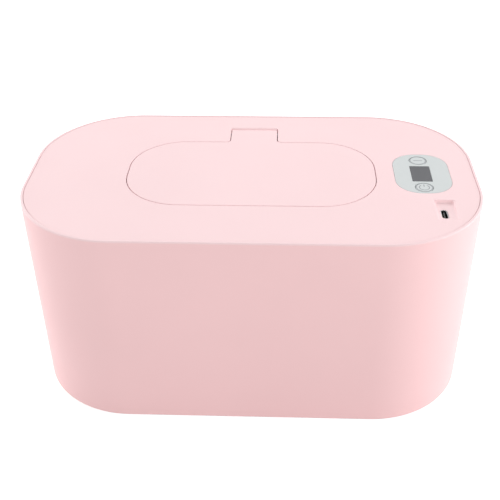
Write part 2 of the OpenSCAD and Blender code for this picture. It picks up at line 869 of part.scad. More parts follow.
tub();
liner();
liner_screws();
insulation_sleeve();
insulation_pad();
foot_front_left();
foot_front_right();
foot_rear_left();
foot_rear_right();
top_cover();
cover_base();
cover_seal();
cover_screws();
mouth_insert();
heater_plate();
heating_film();
heater_foam();
temperature_sensor();
thermal_fuse();
heater_leads();
sensor_leads();
lead_connector();
control_board();
board_screws();
control_panel();
display_window();
display_module();
power_switch();
mode_switch();
usb_socket();
usb_tongue();
power_key();
power_plunger();
mode_key();
mode_plunger();
hinge_pin();
flip_lid();
lid_inner_panel();
lid_seal();
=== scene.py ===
# %% [markdown]
# A baby wipe warmer, dressed for a product picture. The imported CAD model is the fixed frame: it says where
# each part is and which body it moves with. The shells that show are made again here as smooth surfaces
# with rounded edges, because those edges catch the light on moulded plastic. The parts inside keep their
# CAD shapes and only get better finishes.

# %% Load the frame
import bmesh
import bpy
import numpy as np
from mathutils import Matrix, Vector
from mathutils.geometry import delaunay_2d_cdt


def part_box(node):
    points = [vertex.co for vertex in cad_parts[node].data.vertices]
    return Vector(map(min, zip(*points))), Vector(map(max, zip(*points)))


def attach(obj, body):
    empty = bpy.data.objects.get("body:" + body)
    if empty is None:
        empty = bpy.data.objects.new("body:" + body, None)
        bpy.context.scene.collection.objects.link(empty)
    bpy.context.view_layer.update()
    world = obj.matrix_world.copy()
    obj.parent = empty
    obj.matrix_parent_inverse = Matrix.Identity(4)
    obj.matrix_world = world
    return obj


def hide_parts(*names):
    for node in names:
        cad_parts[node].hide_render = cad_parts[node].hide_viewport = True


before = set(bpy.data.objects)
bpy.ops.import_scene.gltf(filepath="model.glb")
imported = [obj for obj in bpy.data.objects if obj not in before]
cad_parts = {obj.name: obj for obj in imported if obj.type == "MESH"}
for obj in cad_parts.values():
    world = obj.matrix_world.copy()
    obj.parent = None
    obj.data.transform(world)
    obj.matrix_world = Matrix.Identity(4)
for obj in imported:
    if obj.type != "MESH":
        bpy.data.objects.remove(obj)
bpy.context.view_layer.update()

MM = 0.001


# %% [markdown]
# The shapes below are worked out in millimetres and turned into metres when a mesh is made. The frame gives
# the heights at which the parts sit, so a change in the CAD model carries over to these shells.

# %% Read heights from the frame
def box_mm(node_name):
    """Lowest and highest corner of a part of the frame, in millimetres."""
    return [np.array(corner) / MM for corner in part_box(node_name)]


BASE, RIM = (corner[2] for corner in box_mm("tub"))
UNDERSIDE, FACE = (corner[2] for corner in box_mm("top_cover"))
print(f"rim {RIM:.1f}, cover's face {FACE:.1f}, base {BASE:.1f} mm")

# %% [markdown]
# Every part of this product is a flat outline with round corners, grown or shrunk from level to level. Such
# an outline is a short list of corners: x, y and radius, going anticlockwise. Each corner becomes an arc,
# and growing the outline moves every point along its own normal, so all levels have the same number of
# points and can be joined. A Bezier curve with a bevel could draw one outline too, but its levels wouldn't
# match point by point.

# %% Outlines with round corners
CORNER_STEPS, SMOOTH = 12, 32  # steps of an arc in a small outline and in the warmer's own


def outline(corners, grow=0.0, steps=CORNER_STEPS):
    """Turns a list of corners into points, with an arc at each corner, and moves them out by grow.

    The arc's centre is on the bisector, at radius / (1 + cos(turn)) times the sum of the two edge normals
    from the corner. A point is centre + (radius + grow) * normal. In a hollow corner the radius counts as
    negative.
    """
    corners = np.asarray(corners, float)
    spot, radius = corners[:, :2], corners[:, 2:]
    ahead = np.roll(spot, -1, axis=0) - spot
    ahead /= np.linalg.norm(ahead, axis=1, keepdims=True)
    leaving = np.stack((ahead[:, 1], -ahead[:, 0]), axis=1)
    arriving = np.roll(leaving, 1, axis=0)
    cosine = (arriving * leaving).sum(axis=1, keepdims=True)
    sine = (arriving[:, :1] * leaving[:, 1:] - arriving[:, 1:] * leaving[:, :1])
    turn = np.arctan2(sine, cosine)
    side = np.sign(turn)
    centre = spot - side * radius * (arriving + leaving) / (1 + cosine)
    angle = np.arctan2(arriving[:, 1:], arriving[:, :1]) + turn * np.linspace(0, 1, steps + 1)
    normal = np.stack((np.cos(angle), np.sin(angle)), axis=2)
    return (centre[:, None] + (side * radius + grow)[:, :, None] * normal).reshape(-1, 2)


def rectangle(length, width, radius, x=0.0, y=0.0):
    """Corners of a rectangle round a centre. A radius of half its width makes it an oblong."""
    a, b = length / 2, width / 2
    return [(x - a, y - b, radius), (x + a, y - b, radius), (x + a, y + b, radius), (x - a, y + b, radius)]


def circle(radius, x=0.0, y=0.0):
    """A circle is a square whose corners are as round as they can be."""
    return rectangle(2 * radius, 2 * radius, radius, x, y)


# %% [markdown]
# A shell's side is a profile carried round the outline. A profile is a list of pairs: how far the outline
# is grown, and how high it is. Going up the outside, inwards over the top and down the inside keeps the
# faces pointing outwards. Rounded edges are short arcs in the profile. A Bevel modifier could round them
# too, but an arc has exactly the radius that is asked for, also where two edges lie close together.

# %% Arcs and walls
FEW, SOME, MANY = 3, 4, 8  # steps of an arc in a fine edge, in one that shows and in a wide round


def arc(across, up, radius, start, end, steps=5):
    """Points of an arc in the profile's plane: centre + radius * (cos, sin), with the angles in degrees."""
    angle = np.radians(np.linspace(start, end, steps + 1))
    return np.stack((across + radius * np.cos(angle), up + radius * np.sin(angle)), axis=1)


def raised(loop, height):
    """The points of a flat loop, all at one height or each at its own."""
    return np.column_stack((loop, np.broadcast_to(height, len(loop))))


def grid(rows):
    """Joins each row of points to the next with four-sided faces. The rows close on themselves."""
    rows = np.array(rows)
    m, n = rows.shape[:2]
    i, j = np.arange(m - 1)[:, None] * n, np.arange(n)[None]
    k = (j + 1) % n
    faces = np.stack((i + j, i + k, i + n + k, i + n + j), axis=-1).reshape(-1, 4)
    return rows.reshape(-1, 3), faces


def wall(corners, profile, steps=CORNER_STEPS):
    """Row i of the grid is the outline grown by profile[i][0], at the height profile[i][1]."""
    return grid([raised(outline(corners, grow, steps), height) for grow, height in profile])


# %% [markdown]
# A flat face with holes in it, such as the cover's, is hard to build from strips. Blender's constrained
# Delaunay triangulation fills the plane with triangles and keeps every edge that it is given. It fills the
# holes as well, so the triangles whose middle lies in a hole are left out.

# %% Plates
SAME_POINT, DELAUNAY_REACH = 1e-6, 1e-7  # in millimetres: closer than this counts as one


def inside(points, loop):
    """Even-odd rule: a point is inside when a ray to the right crosses the loop an odd number of times."""
    a, b = loop, np.roll(loop, -1, axis=0)
    x, y = points[:, :1], points[:, 1:]
    straddles = (a[:, 1] > y) != (b[:, 1] > y)
    with np.errstate(divide="ignore", invalid="ignore"):
        crossing = a[:, 0] + (y - a[:, 1]) * (b[:, 0] - a[:, 0]) / (b[:, 1] - a[:, 1])
    return (straddles & (x < crossing)).sum(axis=1) % 2 == 1


def plate(loop, height, holes=(), up=True, cuts=()):
    """A flat region between a loop and its holes, in triangles.

    The height is a number or a function of the points. The cuts are pairs of points that an edge has to
    join, for a plate that bends there.
    """
    points, edges = [], []
    for ring in [loop, *holes]:
        ring = ring[np.linalg.norm(ring - np.roll(ring, 1, axis=0), axis=1) > SAME_POINT]
        first = len(points)
        points += [Vector(p) for p in ring]
        edges += [(first + i, first + (i + 1) % len(ring)) for i in range(len(ring))]
    for a, b in cuts:
        edges.append((len(points), len(points) + 1))
        points += [Vector(a), Vector(b)]
    found, _, faces, *_ = delaunay_2d_cdt(points, edges, [], 0, DELAUNAY_REACH)
    found, faces = np.array([tuple(p) for p in found]), np.array(faces)
    middle = found[faces].mean(axis=1)
    keep = inside(middle, loop)
    for hole in holes:
        keep &= ~inside(middle, hole)
    faces = faces[keep] if up else faces[keep][:, ::-1]
    return raised(found, height(found) if callable(height) else height), faces


def capped(corners, profile):
    """A wall with a plate at each end. The profile runs from the lower end to the upper one."""
    (low, bottom), (high, top) = profile[0], profile[-1]
    ends = [plate(outline(corners, high), top), plate(outline(corners, low), bottom, up=False)]
    return [wall(corners, profile), *ends]


# %% [markdown]
# A piece is its walls and plates put together, with the points that meet merged into one. Edges sharper
# than 35 degrees stay sharp. The Weighted Normal modifier then lets the large flat faces decide the shading
# at their borders, so a flat face stays flat right up to its rounded edge. A closed piece has two faces at
# every edge, so edges with another number are counted and printed.

# %% Make a piece from its parts
MERGE, NO_AREA = 2e-6, 1e-7  # in metres
SHARP = np.radians(35)


def piece(name, parts, material, body, replaces=()):
    """Makes one mesh of (points, faces) pairs, puts it on its body's empty and hides the CAD parts that it
    replaces.
    """
    points = np.concatenate([p for p, _ in parts]) * MM
    starts = np.cumsum([0] + [len(p) for p, _ in parts])
    faces = [row for (_, f), start in zip(parts, starts) for row in (np.asarray(f) + start).tolist()]
    mesh = bpy.data.meshes.new(name)
    mesh.from_pydata(points, [], faces)
    work = bmesh.new()
    work.from_mesh(mesh)
    bmesh.ops.remove_doubles(work, verts=work.verts, dist=MERGE)
    bmesh.ops.dissolve_degenerate(work, edges=work.edges, dist=NO_AREA)
    work.to_mesh(mesh)
    open_edges = sum(1 for edge in work.edges if len(edge.link_faces) != 2)
    work.free()
    mesh.shade_smooth()
    mesh.set_sharp_from_angle(angle=SHARP)
    mesh.materials.append(material)
    made = bpy.data.objects.new(name, mesh)
    bpy.context.collection.objects.link(made)
    made.modifiers.new("even shading", "WEIGHTED_NORMAL").keep_sharp = True
    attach(made, body)
    if replaces:
        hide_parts(*replaces)
    print(f"{name}: {len(mesh.polygons)} faces, {open_edges} open edges")


# %% [markdown]
# Moulded plastic is never one flat colour: the surface carries a very fine spark-eroded grain, the melt
# leaves broad, faint changes of tone, and hands leave slightly glossier patches. One shader node group
# makes all three from noise on Object coordinates, and each plastic places it with its own numbers. A group
# is better here than one large material, because a change to the grain then reaches every finish.

# %% Helpers for nodes
def node(tree, kind, inputs=None, **settings):
    """Adds a node, sets its properties, and fills inputs, by name or place, with numbers or links."""
    made = tree.nodes.new(kind)
    for name, value in settings.items():
        setattr(made, name, value)
    for name, value in (inputs or {}).items():
        if isinstance(value, bpy.types.NodeSocket):
            tree.links.new(value, made.inputs[name])
        else:
            made.inputs[name].default_value = value
    return made


def noise(tree, vector, scale, detail):
    """A cloudy pattern with values round 0.5."""
    return node(tree, "ShaderNodeTexNoise", {"Vector": vector, "Scale": scale, "Detail": detail}).outputs[0]


def spread(tree, value, reach, low, high):
    """Maps the middle of a noise's values, from 0.5 - reach to 0.5 + reach, to low..high."""
    return node(tree, "ShaderNodeMapRange", {
        "Value": value, "From Min": 0.5 - reach, "From Max": 0.5 + reach, "To Min": low, "To Max": high,
    }).outputs[0]


def mix(tree, factor, first, second):
    """A colour between two others. A Mix node has its colour sockets at places 6 and 7, its result at 2."""
    return node(tree, "ShaderNodeMix", {"Factor": factor, 6: first, 7: second}, data_type="RGBA").outputs[2]


# %% Shader group for moulded surfaces
TONE_SCALE, TONE_DETAIL, TONE_REACH = 14.0, 3.0, 0.2
HANDLED_SCALE, HANDLED_DETAIL, HANDLED_REACH = 55.0, 4.0, 0.15
FINE_DETAIL = 1.0
moulded = bpy.data.node_groups.new("moulded surface", "ShaderNodeTree")
for way, kind, names in (
    ("INPUT", "Vector", ["Vector"]), ("INPUT", "Color", ["Colour", "Shade"]),
    ("INPUT", "Float", ["Grain", "Dullest", "Glossiest"]),
    ("OUTPUT", "Color", ["Colour"]), ("OUTPUT", "Float", ["Roughness", "Height"]),
):
    for name in names:
        moulded.interface.new_socket(name=name, socket_type="NodeSocket" + kind, in_out=way)
given = moulded.nodes.new("NodeGroupInput").outputs
broad = noise(moulded, given["Vector"], TONE_SCALE, TONE_DETAIL)
handled = noise(moulded, given["Vector"], HANDLED_SCALE, HANDLED_DETAIL)
fine = noise(moulded, given["Vector"], given["Grain"], FINE_DETAIL)
node(moulded, "NodeGroupOutput", {
    "Colour": mix(moulded, spread(moulded, broad, TONE_REACH, 0.0, 1.0), given["Colour"], given["Shade"]),
    "Roughness": spread(moulded, handled, HANDLED_REACH, given["Dullest"], given["Glossiest"]),
    "Height": fine,
})
print(f"{moulded.name}: {len(moulded.nodes)} nodes")


# %% [markdown]
# A finish is one Principled shader. What stays the same all over is set on the shader's own sockets, and
# only what changes over the surface comes from the group. Colours are written as they look on a screen,
# from 0 to 255, and turned into linear light for the shader. The pink in the photograph is a soft satin, so
# its roughness is middling and its specular level low. The metals and the display's window are smoother.

# %% Finishes
def light(*levels):
    """Screen levels to linear light: c / 12.92 below 0.04045, and ((c + 0.055) / 1.055) ^ 2.4 above."""
    c = np.array(levels) / 255
    linear = np.where(c <= 0.04045, c / 12.92, ((c + 0.055) / 1.055) ** 2.4)
    return (*linear.tolist(), 1.0)


def finish(name, colour, shade=0.97, rough=(0.5, 0.42), grain=3000.0, depth=0.00001, **constants):
    """A plastic, rubber, foam or metal. Shade is its darkest tone's share of the colour."""
    made = bpy.data.materials.new(name)
    made.use_nodes = True
    tree = made.node_tree
    shader = tree.nodes["Principled BSDF"]
    base = light(*colour)
    surface = node(tree, "ShaderNodeGroup", {
        "Vector": node(tree, "ShaderNodeTexCoord").outputs["Object"], "Colour": base, "Grain": grain,
        "Shade": (*[c * shade for c in base[:3]], 1.0), "Dullest": rough[0], "Glossiest": rough[1],
    }, node_tree=moulded).outputs
    bump = node(tree, "ShaderNodeBump", {"Height": surface["Height"], "Distance": depth, "Strength": 1.0})
    tree.links.new(surface["Colour"], shader.inputs["Base Color"])
    tree.links.new(surface["Roughness"], shader.inputs["Roughness"])
    tree.links.new(bump.outputs["Normal"], shader.inputs["Normal"])
    for socket_name, value in constants.items():
        shader.inputs[socket_name.replace("_", " ")].default_value = value
    return made


SATIN = {"rough": (0.58, 0.5), "Specular_IOR_Level": 0.35}
# The tub and the cover are one plastic. The tub's pink is darker and deeper than the cover's: this is
# painted shade for the tub's sides, which get less light than the top faces.
tub_pink_painted_shade = finish("tub pink with painted shade", (252, 211, 212), **SATIN)
cover_pink = finish("cover pink", (254, 223, 225), **SATIN)
panel_grey = finish("panel grey", (205, 210, 210), rough=(0.42, 0.36))
window_dark = finish("display window", (63, 64, 70), rough=(0.2, 0.14), depth=0.0, Specular_IOR_Level=0.25)
print_grey = finish("printed marks", (150, 153, 158), rough=(0.55, 0.5))
liner_white = finish("liner white", (243, 233, 232), rough=(0.4, 0.33))
silicone = finish("silicone", (232, 229, 224), rough=(0.7, 0.62), grain=1500.0)
foot_rubber = finish("foot rubber", (224, 219, 214), rough=(0.8, 0.7), grain=1500.0)
foam = finish("foam", (226, 228, 232), shade=0.8, rough=(0.95, 0.9), grain=900.0, depth=0.0002)
amber = finish("heating film", (214, 142, 58), rough=(0.3, 0.22))
board_green = finish("board", (38, 104, 70), shade=0.7, rough=(0.4, 0.3))
part_black = finish("black parts", (34, 34, 36), rough=(0.5, 0.4))
part_white = finish("white parts", (236, 234, 228), rough=(0.5, 0.42))
wire_red = finish("red wire", (186, 42, 34), rough=(0.45, 0.38))
wire_black = finish("black wire", (30, 30, 32), rough=(0.45, 0.38))
aluminium = finish("heater aluminium", (196, 198, 201), shade=0.9, rough=(0.42, 0.3), Metallic=1.0)
steel = finish("steel", (176, 177, 180), shade=0.9, rough=(0.34, 0.24), Metallic=1.0)
inlet_steel = finish("inlet shell", (176, 176, 178), shade=0.9, rough=(0.36, 0.26), Metallic=1.0)
gold = finish("contacts", (216, 176, 92), rough=(0.3, 0.2), Metallic=1.0)
inlet_black = finish("inlet core", (52, 52, 54), rough=(0.6, 0.5))
print("finishes:", len(bpy.data.materials))

# %% [markdown]
# The tub's rim is a thin lip that light gets into from above and from inside, so it looks as pale as the
# cover. Light inside plastic could be rendered as such, but that is slow and blurs the fine edges. The
# tub's finish blends to the cover's colour over the last millimetre below the rim instead, by the height,
# which is the Z of the Object coordinates.

# %% Pale rim
RIM_PALE, PALE_FROM, PALE_TO = (253, 224, 226), 1.0, 0.2


def pale_above(material, colour, low, high):
    """Blends a finish's base colour to another one between two heights, in millimetres."""
    tree = material.node_tree
    base = tree.nodes["Principled BSDF"].inputs["Base Color"]
    place = node(tree, "ShaderNodeTexCoord").outputs["Object"]
    height = node(tree, "ShaderNodeSeparateXYZ", {"Vector": place}).outputs["Z"]
    share = node(tree, "ShaderNodeMapRange", {"Value": height, "From Min": low * MM, "From Max": high * MM})
    tree.links.new(mix(tree, share.outputs[0], base.links[0].from_socket, light(*colour)), base)


pale_above(tub_pink_painted_shade, RIM_PALE, RIM - PALE_FROM, RIM - PALE_TO)
print(f"{tub_pink_painted_shade.name}: pale above {RIM - PALE_FROM:.1f} mm")

# %% [markdown]
# The camera stands where the photographer's stood: a little to the right, looking down at 34 degrees. Its
# place comes from matching the warmer's outline, so it is written as the point it looks at, its distance
# and its angles.

# %% Camera
AIM = Vector((-1.2, 0.0, 62.34)) * MM
DISTANCE = 477.49 * MM
AZIMUTH, ELEVATION, ROLL = np.radians((2.64, 33.70, -0.66))
LENS, NEAREST = 62.90, 0.01
forward = Vector((
    -np.sin(AZIMUTH) * np.cos(ELEVATION), np.cos(AZIMUTH) * np.cos(ELEVATION), -np.sin(ELEVATION),
))
right = forward.cross(Vector((0, 0, 1))).normalized()
turned = Matrix((right, right.cross(forward), -forward)).transposed() @ Matrix.Rotation(ROLL, 3, "Z")
camera = bpy.data.objects.new("camera", bpy.data.cameras.new("camera"))
camera.data.lens = LENS
camera.data.clip_start = NEAREST
camera.matrix_world = Matrix.Translation(AIM - DISTANCE * forward) @ turned.to_4x4()
bpy.context.collection.objects.link(camera)
bpy.context.scene.camera = camera
print(f"camera: {LENS:.1f} mm lens, {DISTANCE / MM:.0f} mm away")

# %% [markdown]
# The tub is one moulded shell: a flat base, a side that leans in by 2 mm, a thin lip at the top and a ledge
# inside for the liner's flange. It could be a box with Bevel and Solidify modifiers, but the lean, the lip
# and the ledge all belong to one profile, so that profile is drawn and carried round. Four round pockets in
# the base take the feet.

# %% Tub
CORNER = 52.0
CORNER_X, CORNER_Y = 63.0, 15.75
LEAN, SIDE_LEVELS = 2.0, 7
LIP, TUB_WALL, TUB_FLOOR, LINER_WALL = 1.5, 2.3, 2.4, 1.2
RIM_ROUND, BASE_ROUND, LIP_ROUND = 0.8, 1.8, 0.15
LEDGE = box_mm("liner")[1][2] - LINER_WALL
FOOT_R, FOOT_POCKET, FOOT_GAP = 6.0, 1.4, 0.1
plan = rectangle(2 * (CORNER_X + CORNER), 2 * (CORNER_Y + CORNER), CORNER)


def lean(height):
    """How far the side has leaned in at a height: LEAN at the base, nothing at the rim."""
    return LEAN * (RIM - height) / (RIM - BASE)


foot_names = [f"{end}_{side}" for end in ("front", "rear") for side in ("left", "right")]
foot_centres = [np.mean(box_mm(f"foot_{name}"), axis=0)[:2] for name in foot_names]
base_low, rim_high, tub_floor = BASE + BASE_ROUND, RIM - RIM_ROUND, BASE + TUB_FLOOR
outside = [
    *arc(-lean(base_low) - BASE_ROUND, base_low, BASE_ROUND, -90, 0, MANY),
    *((-lean(z), z) for z in np.linspace(base_low, rim_high, SIDE_LEVELS)[1:-1]),
    *arc(-lean(rim_high) - RIM_ROUND, rim_high, RIM_ROUND, 0, 90, MANY),
    *arc(-LIP + LIP_ROUND, RIM - LIP_ROUND, LIP_ROUND, 90, 180, FEW),
    (-LIP, LEDGE), (-lean(LEDGE) - TUB_WALL, LEDGE), (-lean(tub_floor) - TUB_WALL, tub_floor),
]
pockets = [circle(FOOT_R + FOOT_GAP, x, y) for x, y in foot_centres]
parts = [
    wall(plan, outside, SMOOTH),
    plate(outline(plan, outside[-1][0], SMOOTH), outside[-1][1]),
    plate(outline(plan, outside[0][0], SMOOTH), BASE, [outline(p) for p in pockets], up=False),
]
for pocket in pockets:
    parts += [
        wall(pocket, [(0, BASE + FOOT_POCKET), (0, BASE)]),
        plate(outline(pocket), BASE + FOOT_POCKET, up=False),
    ]
piece("tub_shell", parts, tub_pink_painted_shade, "tub", ["tub"])

# %% [markdown]
# The feet are soft silicone buttons pressed into those pockets, with a rounded edge and a shallow groove in
# the sole. The Screw modifier could turn their profile, but the wall function already does it, with a
# circle as the outline.

# %% Feet
FOOT_ROUND, FOOT_CLEAR = 0.5, 0.02
GROOVE, GROOVE_AT, GROOVE_DEPTH = 0.6, -2.4, 0.25
foot_top = BASE + FOOT_POCKET - FOOT_CLEAR
sole = [
    (-FOOT_R, 0), (GROOVE_AT - GROOVE, 0), (GROOVE_AT - GROOVE, GROOVE_DEPTH), (GROOVE_AT, GROOVE_DEPTH),
    (GROOVE_AT, 0), (-FOOT_ROUND, 0), *arc(-FOOT_ROUND, FOOT_ROUND, FOOT_ROUND, -90, 0)[1:],
    (0, foot_top), (-FOOT_R, foot_top),
]
for name, (x, y) in zip(foot_names, foot_centres):
    part = wall(circle(FOOT_R, x, y), sole)
    piece(f"foot_pad_{name}", [part], foot_rubber, "tub", [f"foot_{name}"])

# %% [markdown]
# The liner is the tub that the wipes lie in. Its flange rests on the ledge below the rim, its floor meets
# its side in a wide round, and its sides follow the tub's lean.

# %% Liner
JACKET, FLANGE_EDGE, PAD_T = 2.6, 1.8, 6.0
LINER_ROUND, FLANGE_ROUND = 6.0, 0.5
SEAT = LEDGE + LINER_WALL
LINER_BASE = tub_floor + PAD_T
round_at = LINER_BASE + LINER_WALL + LINER_ROUND


def liner_in(height):
    """How far the inner side is in from the plan: the tub's lean and wall, the jacket, its own wall."""
    return -lean(height) - TUB_WALL - JACKET - LINER_WALL


liner_profile = [
    *arc(liner_in(round_at) - LINER_ROUND, round_at, LINER_ROUND + LINER_WALL, -90, 0, MANY),
    (liner_in(LEDGE) + LINER_WALL, LEDGE), (-FLANGE_EDGE, LEDGE), (-FLANGE_EDGE, SEAT),
    *arc(liner_in(SEAT) + FLANGE_ROUND, SEAT - FLANGE_ROUND, FLANGE_ROUND, 90, 180, SOME),
    *arc(liner_in(round_at) - LINER_ROUND, round_at, LINER_ROUND, 0, -90, MANY),
]
parts = [
    wall(plan, liner_profile, SMOOTH),
    plate(outline(plan, liner_profile[0][0], SMOOTH), LINER_BASE, up=False),
    plate(outline(plan, liner_profile[-1][0], SMOOTH), LINER_BASE + LINER_WALL),
]
piece("liner_shell", parts, liner_white, "tub", ["liner"])

# %% [markdown]
# The top cover carries everything else. Its face is one flat plate, and each opening in it starts with a
# small rounded edge and then goes straight down. So its profiles are written with depths below the face,
# and two short functions draw the rounded edges.

# %% Depths and edges of the cover
SEAM, COVER_T, COVER_DEPTH = 0.2, 2.4, FACE - UNDERSIDE
COVER_EDGE = -(LIP + SEAM)
EDGE, SEAM_EDGE, FINE_EDGE = 0.3, 0.15, 0.15


def deep(profile):
    """A profile written with depths below the cover's face, as heights."""
    profile = np.array(profile, float)
    profile[:, 1] = FACE - profile[:, 1]
    return profile


def dip(radius, start=0.0):
    """The rounded top edge of an opening: a quarter circle from the face inwards and down."""
    return arc(start + radius, radius, radius, -90, -180, SOME)


def brow(radius):
    """The rounded top edge of a shell: a quarter circle from its side up and inwards."""
    return arc(-radius, radius, radius, 0, -90, SOME)


print(f"cover: {COVER_DEPTH:.1f} mm deep")

# %% [markdown]
# Below the lid the walls step inwards: a well for the lid, a basin, and the mouth that the wipes come up
# through. The lid's tongue needs a notch behind the well, so the lid, its well and the block of plastic
# round it are the same figure in three sizes: a rectangle with a tongue at the back.

# %% Outlines of the openings
LID_L, LID_W, LID_R, LID_GAP = 127.0, 67.5, 28.5, 0.4
TONGUE_W, TONGUE_ROUND, TONGUE_CORNER, SLIT = 25.3, 2.8, 0.5, 0.45
BARREL_R, HINGE_BEHIND, NOTCH_GAP, NOTCH_LEAD = 2.6, 13.75, 0.5, 7.3
HINGE_Y = LID_W / 2 + HINGE_BEHIND
NOTCH_BACK, NOTCH_FRONT = HINGE_Y + BARREL_R + NOTCH_GAP, HINGE_Y - BARREL_R - NOTCH_LEAD
LEDGE_W, WEB, LUG_W = 5.5, 1.6, 5.0
MOUTH_L, MOUTH_W = 84.0, 36.0
PANEL_X, PANEL_Y, PANEL_W, PANEL_L, PANEL_R = 87.35, 0.6, 28.3, 41.0, 12.3
DISPLAY_X, DISPLAY_W, DISPLAY_L, WINDOW_LEDGE, WINDOW_HOLE_R = 86.85, 10.1, 16.1, 0.8, 0.4
KEY_Y, KEY_WELL, POCKET_GAP = 14.2, 5.6, 0.1


def tee(length, width, radius, half, back, end=TONGUE_CORNER, hollow=TONGUE_ROUND - LID_GAP):
    """A rectangle with round corners and a tongue at the back, for the lid and for the well round it."""
    a, b = length / 2, width / 2
    return [
        (-a, -b, radius), (a, -b, radius), (a, b, radius), (half, b, hollow),
        (half, back, end), (-half, back, end), (-half, b, hollow), (-a, b, radius),
    ]


def widened(size, gap):
    """Length, width and radius of a rectangle that stands out by a gap all round."""
    length, width, radius = size
    return length + 2 * gap, width + 2 * gap, radius + gap


lid_size, notch_half = (LID_L, LID_W, LID_R), TONGUE_W / 2 + SLIT
well_size = (*widened(lid_size, LID_GAP), notch_half)
well_floor = tee(*well_size, NOTCH_FRONT, end=0.0)
block = tee(*widened(lid_size, LID_GAP + WEB), notch_half + LUG_W, NOTCH_BACK + WEB)
basin = rectangle(*widened(lid_size, -LEDGE_W))
mouth = rectangle(MOUTH_L, MOUTH_W, MOUTH_W / 2)
pocket = rectangle(*widened((PANEL_W, PANEL_L, PANEL_R), POCKET_GAP), PANEL_X, PANEL_Y)
hole_w, hole_l = DISPLAY_W - 2 * WINDOW_LEDGE, DISPLAY_L - 2 * WINDOW_LEDGE
window_hole = rectangle(hole_w, hole_l, WINDOW_HOLE_R, DISPLAY_X)
key_wells = [circle(KEY_WELL, DISPLAY_X, y) for y in (-KEY_Y, KEY_Y)]
print(f"hinge {HINGE_Y:.1f} mm behind the middle, notch from {NOTCH_FRONT:.1f} to {NOTCH_BACK:.1f} mm")

# %% [markdown]
# The open lid's tongue needs all of the notch, so a gap has to stay behind it, where the photograph shows
# none. So between the slits beside the tongue the notch's back wall starts with a wide round, which keeps
# the gap light, and the barrel fills as much of the notch as its turn leaves.

# %% Well and notch
WELL_D, NOTCH_D, BROW_R, BROW_CORNER, WELL_CORNER = 2.2, 5.6, 1.5, 0.3, 0.2
WELL_LEVELS = (0.3, 0.5, 0.75, 1.0, 1.25, BROW_R, WELL_D)
well = tee(*well_size, NOTCH_BACK, end=WELL_CORNER)
well[5:5] = [
    (TONGUE_W / 2, NOTCH_BACK, WELL_CORNER), (TONGUE_W / 2, NOTCH_BACK + BROW_R, BROW_CORNER),
    (-TONGUE_W / 2, NOTCH_BACK + BROW_R, BROW_CORNER), (-TONGUE_W / 2, NOTCH_BACK, WELL_CORNER),
]


def crossed(loop, lines):
    """Adds a point wherever the loop crosses one of some lines of equal y."""
    for y in lines:
        after = np.roll(loop, -1, axis=0)
        rise = after[:, 1] - loop[:, 1]
        share = (y - loop[:, 1]) / np.where(rise == 0, np.inf, rise)
        at = np.flatnonzero((share > SAME_POINT) & (share < 1 - SAME_POINT))
        loop = np.insert(loop, at + 1, loop[at] + share[at, None] * (after[at] - loop[at]), axis=0)
    return loop


def behind_tongue(loop, depth):
    """Draws the round behind the tongue in to the notch's back wall.

    At a depth it stands out by R - root(R^2 - (R - depth)^2), and by nothing from the depth R on.
    """
    x, y = loop[:, 0], loop[:, 1]
    short = BROW_R - min(depth, BROW_R)
    share = 1 - np.sqrt(1 - (short / BROW_R) ** 2)
    y = np.where(y > NOTCH_BACK, NOTCH_BACK + (y - NOTCH_BACK) * share, y)
    return np.column_stack((x, y))


well_rows = []
for grow, depth in [*dip(SEAM_EDGE), *((0, depth) for depth in WELL_LEVELS)]:
    loop = behind_tongue(crossed(outline(well, grow), [NOTCH_FRONT]), depth)
    well_rows.append(raised(loop, FACE - depth))
notch = well_rows[-1][well_rows[-1][:, 1] > NOTCH_FRONT - SAME_POINT]
print(f"well: {len(well_rows)} levels of {len(notch)} points round the notch")

# %% [markdown]
# The inlet's recess is a scoop: deepest at the back, where the plug needs room for a finger, and running
# out towards the front. Its sides slope gently and meet the floor in a round, so its upper and lower
# outlines differ, and the height of its floor is a function of y. A Boolean cut with a rounded block would
# give much the same form, but its edges would then be hard to round.

# %% Recess
RECESS_X, RECESS_BACK, RECESS_L = 94.75, -26.3, 19.6
RECESS_D, RECESS_FRONT_D, RECESS_ROUND = 1.6, 0.4, 1.0
BACK_HALF, FRONT_HALF, RECESS_FOOT = 5.3, 5.0, 4.5
FRONT_SLOPE, BACK_SLOPE = 1.0, 0.2
TOP_RADII, FOOT_RADII = (1.2, 0.9), (1.3, 1.15)
PORT_X, PORT_Y, SHELL_W, SHELL_L = 93.65, -37.8, 3.26, 8.94
RECESS_FRONT, shell_size = RECESS_BACK - RECESS_L, (SHELL_W, SHELL_L, SHELL_W / 2)


def trapezium(front_half, back_half, front, back, radii):
    """Corners of the recess: its half widths, its ends, and the radii at the front and at the back."""
    x = RECESS_X
    return [
        (x - front_half, front, radii[0]), (x + front_half, front, radii[0]),
        (x + back_half, back, radii[1]), (x - back_half, back, radii[1]),
    ]


def floor_height(points):
    """Height of the recess's floor: its depth falls with the square of the distance from the back edge."""
    share = (RECESS_BACK - points[:, 1]) / RECESS_L
    return FACE - RECESS_D - (RECESS_FRONT_D - RECESS_D) * share**2


